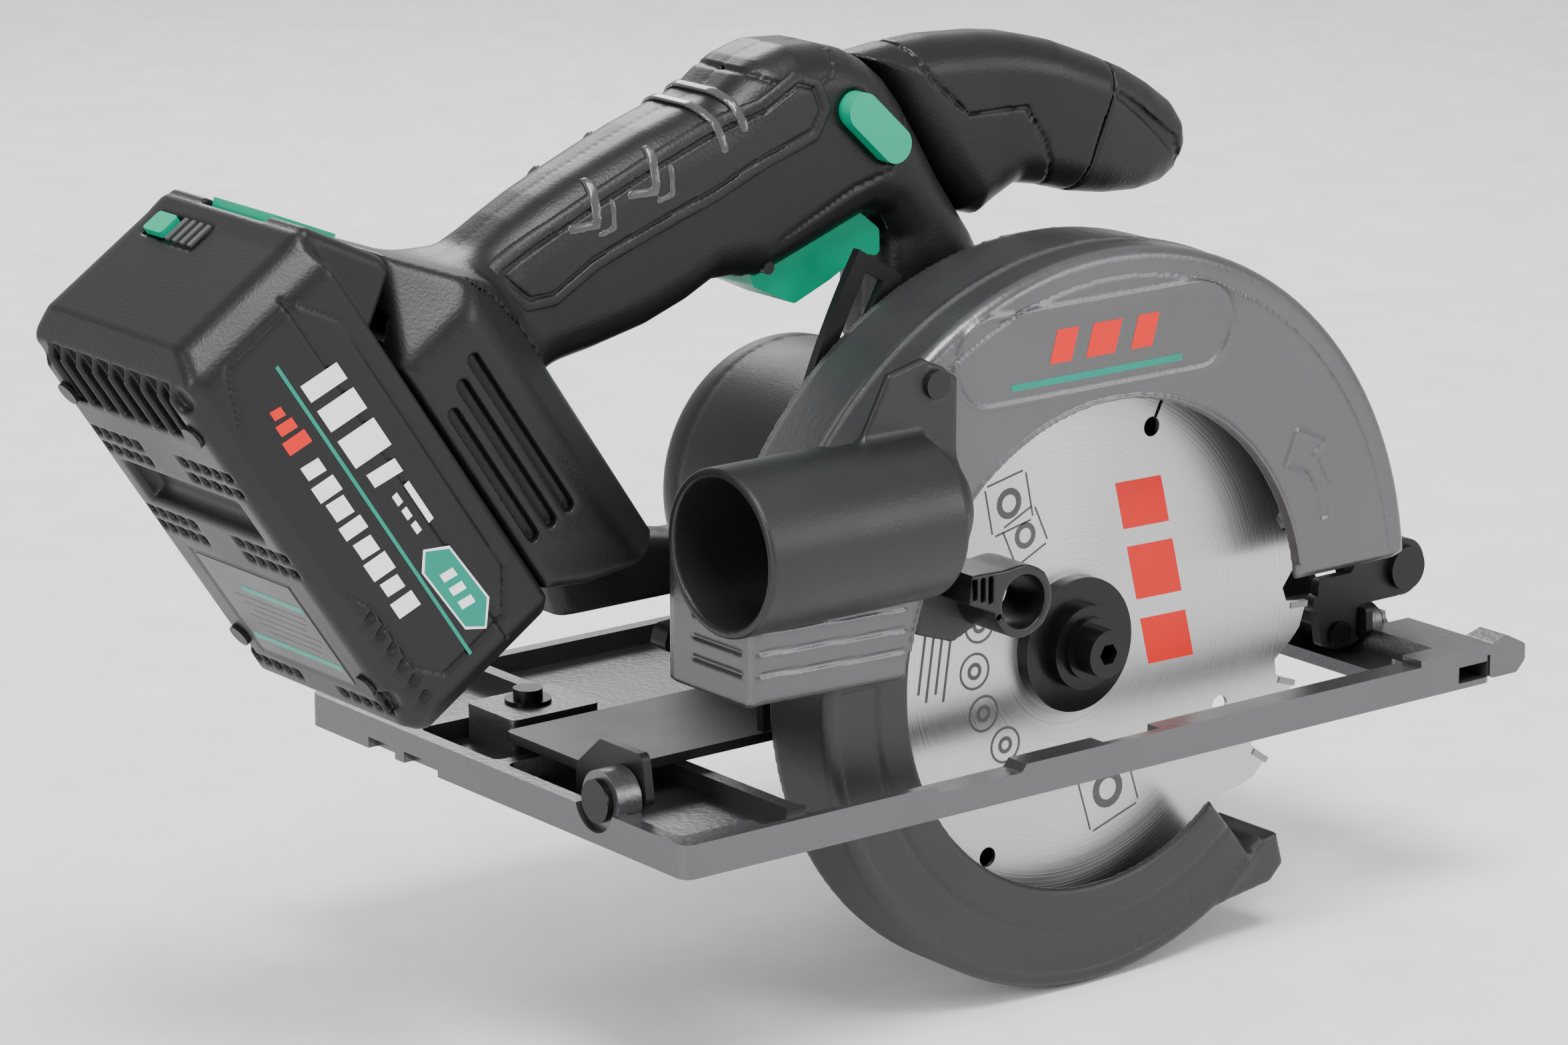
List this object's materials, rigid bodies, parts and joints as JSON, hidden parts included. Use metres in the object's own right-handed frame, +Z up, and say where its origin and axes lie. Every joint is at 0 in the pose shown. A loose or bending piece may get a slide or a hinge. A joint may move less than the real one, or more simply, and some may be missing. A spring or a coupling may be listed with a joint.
{
  "type": "circular saw",
  "caption": "Cordless circular saw with a blade under a fixed and a swinging guard, a tilting base with a front ski, a closed rear handle, a front grip and a slide-on battery.",
  "frame": {"origin": "on the base's sole plane, in the blade's middle plane, straight under the blade's axis, at full depth and zero bevel", "axes": "+X forward along the cut, +Y left to the motor, +Z up from the sole"},
  "size_m": [0.3918, 0.1716, 0.2442],
  "materials": {
    "cast_metal": "cast magnesium with grey metallic paint",
    "dark_steel": "black oxide or black painted sheet",
    "blade_steel": "circular brushed steel",
    "carbide": "ground carbide",
    "gear_steel": "machined steel",
    "iron": "laminated iron",
    "copper": "copper",
    "carbon": "pressed carbon",
    "black_plastic": "fine textured glass-filled plastic",
    "soft_grip": "soft overmould",
    "green_plastic": "smooth green plastic",
    "label": "printed film",
    "circuit": "circuit board",
    "contacts": "brass contacts",
    "cell_wrap": "shrink-wrapped cells",
    "light_cover": "clear grey light covers"
  },
  "bodies": {
    "base": {"rear_block": "cast_metal", "rear_block_screw": "dark_steel", "base_plate": "cast_metal", "bevel_pin_rear": "dark_steel", "bevel_pin_front": "dark_steel"},
    "bevel_frame": {"bevel_frame": "dark_steel", "front_bracket": "dark_steel", "depth_pin": "dark_steel", "depth_guide": "dark_steel", "frame_rivets": "dark_steel"},
    "bevel_knob": {"bevel_knob": "dark_steel"},
    "saw_body": {"upper_guard": "cast_metal", "guard_badge": "black_plastic", "gear_case": "cast_metal", "motor_housing": "black_plastic", "motor_cap": "black_plastic", "stator": "iron", "bearings": "gear_steel", "brushes": "carbon", "brush_plate": "black_plastic", "dust_port": "black_plastic", "dust_screw": "dark_steel", "handle_right": "black_plastic", "handle_left": "black_plastic", "handle_screws": "dark_steel", "grip_pads": "soft_grip", "front_handle": "black_plastic", "front_handle_cap": "soft_grip", "trigger_pin": "dark_steel", "switch": "black_plastic", "switch_plunger": "black_plastic", "controller": "circuit", "foot_terminals": "contacts", "guard_spring": "dark_steel"},
    "depth_lever": {"depth_lever": "dark_steel"},
    "blade_set": {"blade": "blade_steel", "blade_tips": "carbide", "inner_flange": "dark_steel", "outer_flange": "dark_steel", "blade_bolt": "dark_steel", "spindle": "blade_steel", "spindle_gear": "gear_steel"},
    "armature": {"armature_shaft": "blade_steel", "pinion": "gear_steel", "armature_core": "iron", "commutator": "copper", "fan": "black_plastic"},
    "lower_guard": {"lower_guard": "cast_metal", "guard_lever": "black_plastic"},
    "trigger": {"trigger": "green_plastic"},
    "lock_off": {"lock_off": "green_plastic"},
    "battery": {"battery_front_case": "black_plastic", "battery_rear_case": "black_plastic", "battery_cells": "cell_wrap", "battery_terminals": "contacts", "battery_labels": "label", "gauge_lights": "light_cover", "battery_screws": "dark_steel"},
    "battery_release": {"battery_release": "green_plastic"},
    "gauge_button": {"gauge_button": "green_plastic"}
  },
  "joints": [
    {"name": "bevel", "type": "hinge", "parent": "base", "child": "bevel_frame", "pos_m": [0, 0.0095, 0.0105], "axis": [1, 0, 0], "range_deg": [0, 45]},
    {"name": "bevel_clamp", "type": "hinge", "parent": "bevel_frame", "child": "bevel_knob", "pos_m": [0.115, 0.05724, 0.01552], "axis": [1, 0, 0], "range_deg": [0, 60]},
    {"name": "depth", "type": "hinge", "parent": "bevel_frame", "child": "saw_body", "pos_m": [0.123, 0, 0.025], "axis": [0, 1, 0], "range_deg": [0, 24]},
    {"name": "depth_clamp", "type": "hinge", "parent": "saw_body", "child": "depth_lever", "pos_m": [-0.07431, 0.025, 0.04157], "axis": [0, -1, 0], "range_deg": [0, 25]},
    {"name": "blade_spin", "type": "hinge", "parent": "saw_body", "child": "blade_set", "pos_m": [0, 0, 0.0275], "axis": [0, 1, 0], "continuous": true},
    {"name": "armature_spin", "type": "hinge", "parent": "saw_body", "child": "armature", "pos_m": [-0.01098, 0.075, 0.05217], "axis": [0, 1, 0], "continuous": true},
    {"name": "lower_guard_swing", "type": "hinge", "parent": "saw_body", "child": "lower_guard", "pos_m": [0, 0, 0.0275], "axis": [0, 1, 0], "range_deg": [0, 118], "stiffness_Nm_per_rad": 0.15, "springref_deg": -51.57},
    {"name": "trigger_pull", "type": "hinge", "parent": "saw_body", "child": "trigger", "pos_m": [-0.076, 0.04, 0.13], "axis": [0, -1, 0], "range_deg": [0, 8], "stiffness_Nm_per_rad": 0.3, "springref_deg": -17.19},
    {"name": "lock_off_push", "type": "slide", "parent": "saw_body", "child": "lock_off", "axis": [0, 1, 0], "range_m": [-0.003, 0.003], "stiffness_N_per_m": 300},
    {"name": "battery_slide", "type": "slide", "parent": "saw_body", "child": "battery", "axis": [-0.5592, 0, 0.829], "range_m": [0, 0.09]},
    {"name": "battery_release_press", "type": "slide", "parent": "battery", "child": "battery_release", "axis": [-0.4311, 0, -0.9023], "range_m": [0, 0.002], "stiffness_N_per_m": 500, "springref_m": -0.001},
    {"name": "gauge_press", "type": "slide", "parent": "battery", "child": "gauge_button", "axis": [0.5592, 0, -0.829], "range_m": [0, 0.001], "stiffness_N_per_m": 400, "springref_m": -0.001}
  ],
  "couplings": [
    {"joint": "armature_spin", "follows": "blade_spin", "ratio": -3.9091}
  ]
}
